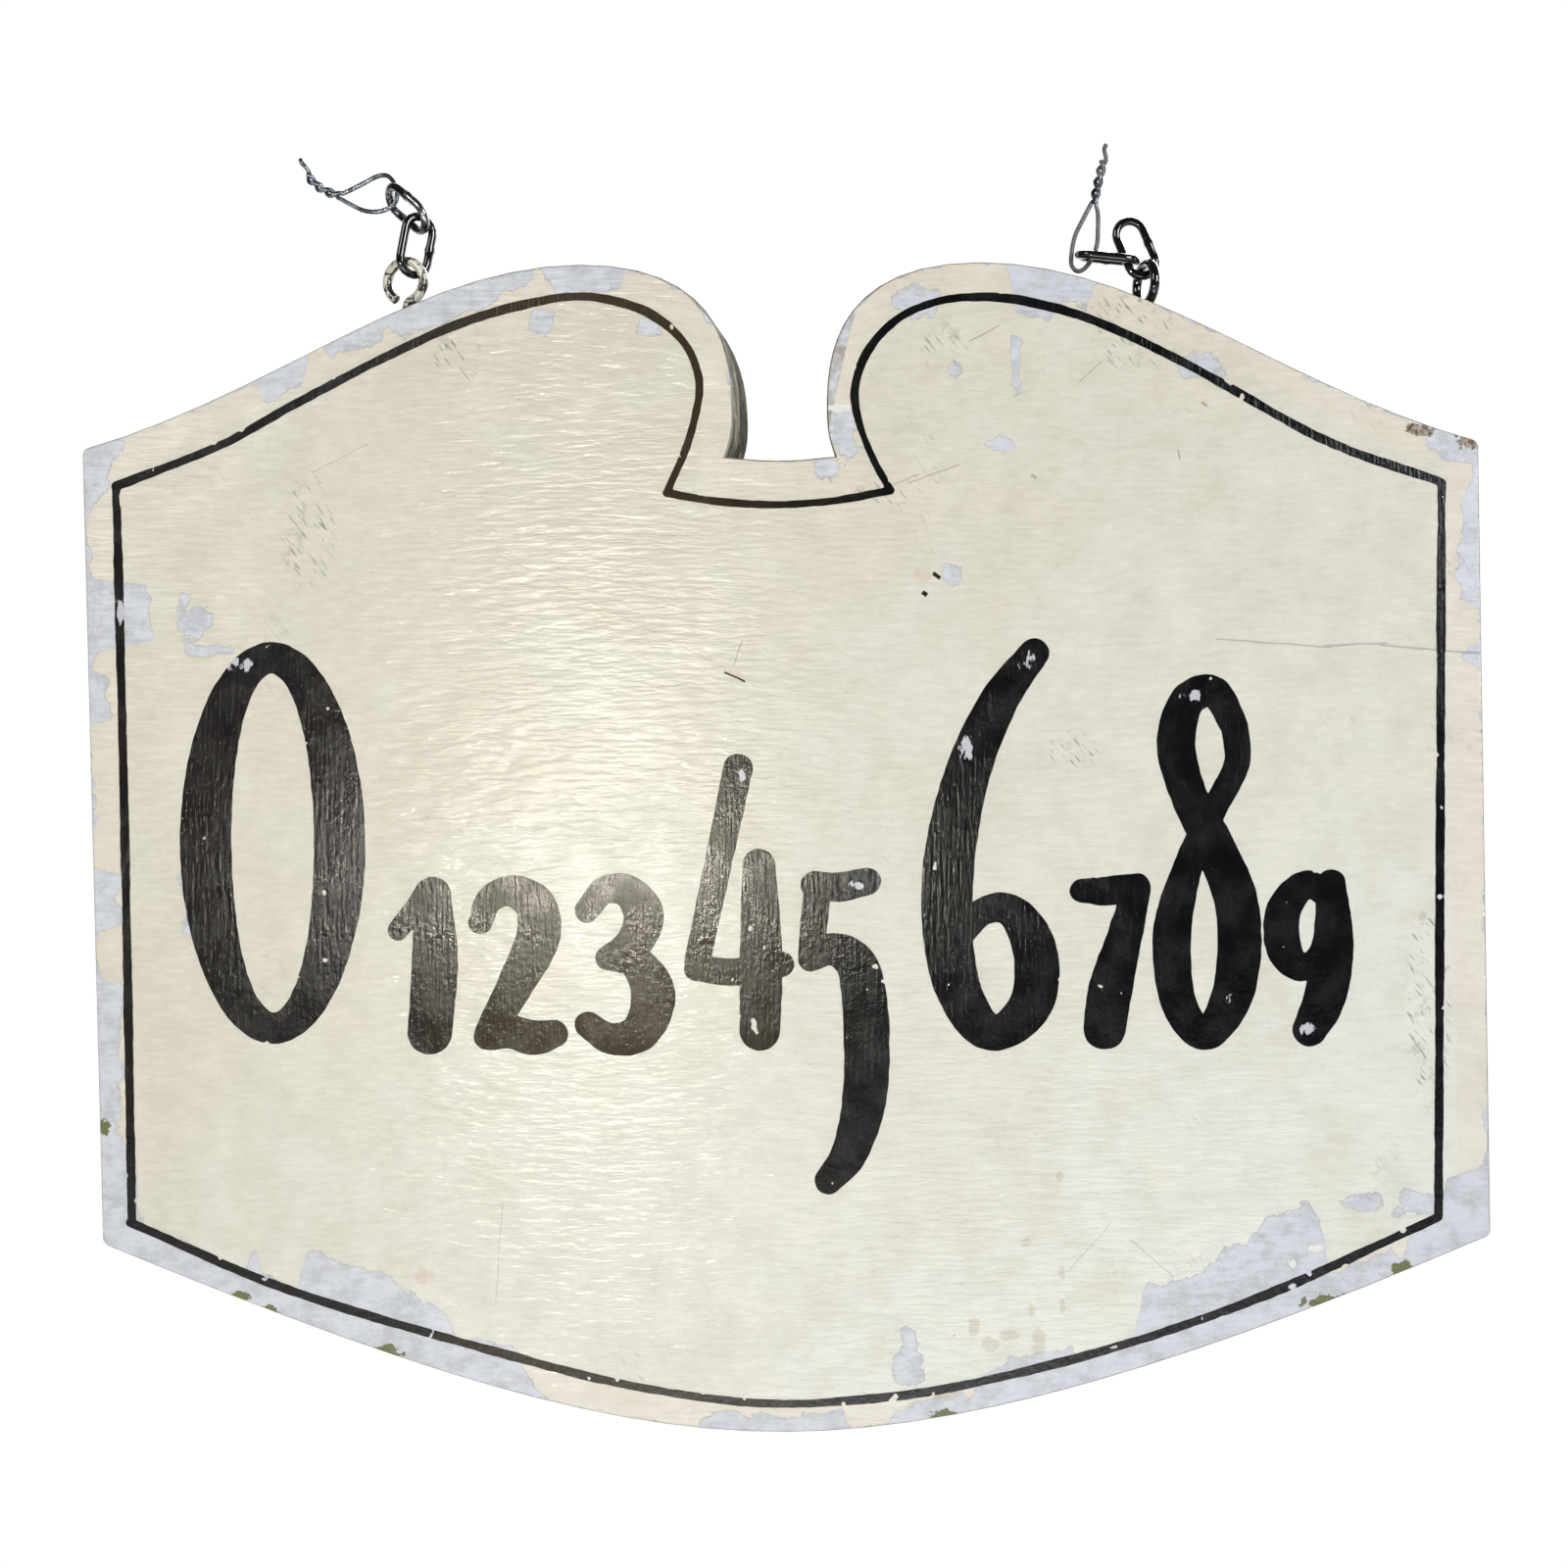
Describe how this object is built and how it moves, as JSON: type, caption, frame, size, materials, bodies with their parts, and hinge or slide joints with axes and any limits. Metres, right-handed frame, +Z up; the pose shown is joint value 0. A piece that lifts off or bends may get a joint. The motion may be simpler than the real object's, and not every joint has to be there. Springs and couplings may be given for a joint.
{
  "type": "hanging sign",
  "caption": "Hanging sign with a scrolled top and bowed bottom: painted boards back to back, and hangers of screw eyes, chain links and twisted tie wire.",
  "frame": {"origin": "on the line through the centres of the two screw eyes' rings, above the middle of the top edge, in the plane where the two boards meet", "axes": "+X to the right along the width as seen from the front, +Y backwards, out of the rear board's back, +Z up"},
  "size_m": [0.7659, 0.038, 0.7087],
  "materials": {
    "front_enamel": "worn gloss enamel",
    "rear_enamel": "worn enamel",
    "screw_steel": "dull",
    "cream_eye_paint": "cracked cream paint",
    "black_eye_paint": "gloss",
    "black_link_paint": "gloss",
    "worn_link_paint": "gloss, worn to bright steel",
    "galvanised_wire": "bright zinc",
    "dull_galvanised_wire": "dull zinc"
  },
  "bodies": {
    "sign": {"front_board": "front_enamel", "rear_board": "rear_enamel", "upper_left_screw": "screw_steel", "upper_right_screw": "screw_steel", "crest_left_screw": "screw_steel", "crest_right_screw": "screw_steel", "lower_left_screw": "screw_steel", "lower_right_screw": "screw_steel", "belly_left_screw": "screw_steel", "belly_right_screw": "screw_steel", "left_screw_eye": "cream_eye_paint", "right_screw_eye": "black_eye_paint"},
    "left_lower": {"left_lower_link": "black_link_paint"},
    "left_upper": {"left_upper_link": "worn_link_paint"},
    "left_tie": {"left_tie_wire": "galvanised_wire"},
    "right_lower": {"right_lower_link": "black_link_paint"},
    "right_upper": {"right_upper_link": "black_link_paint"},
    "right_tie": {"right_tie_wire": "dull_galvanised_wire"}
  },
  "joints": [
    {"name": "left_lower_swing", "type": "hinge", "parent": "sign", "child": "left_lower", "pos_m": [-0.20234, -0.00205, 0.01047], "axis": [0.7308, -0.1826, -0.6577], "range_deg": [-85, 4]},
    {"name": "left_upper_swing", "type": "hinge", "parent": "left_lower", "child": "left_upper", "pos_m": [-0.2, -0.00058, 0.03756], "axis": [-0.6543, -0.6059, -0.4526], "range_deg": [-85, 40]},
    {"name": "left_tie_swing", "type": "hinge", "parent": "left_upper", "child": "left_tie", "pos_m": [-0.22034, 0.00668, 0.05318], "axis": [0, -1, 0], "range_deg": [-28, 14]},
    {"name": "right_lower_swing", "type": "hinge", "parent": "sign", "child": "right_lower", "pos_m": [0.20225, 0, 0.00925], "axis": [0.342, -0.9397, 0], "range_deg": [-80, 0]},
    {"name": "right_upper_swing", "type": "hinge", "parent": "right_lower", "child": "right_upper", "pos_m": [0.19696, -0.0001, 0.01105], "axis": [0.0183, 0.9846, 0.1736], "range_deg": [-8, 28]},
    {"name": "right_tie_swing", "type": "hinge", "parent": "right_upper", "child": "right_tie", "pos_m": [0.1659, -0.0001, 0.01418], "axis": [0, 1, 0], "range_deg": [-85, 0]}
  ]
}
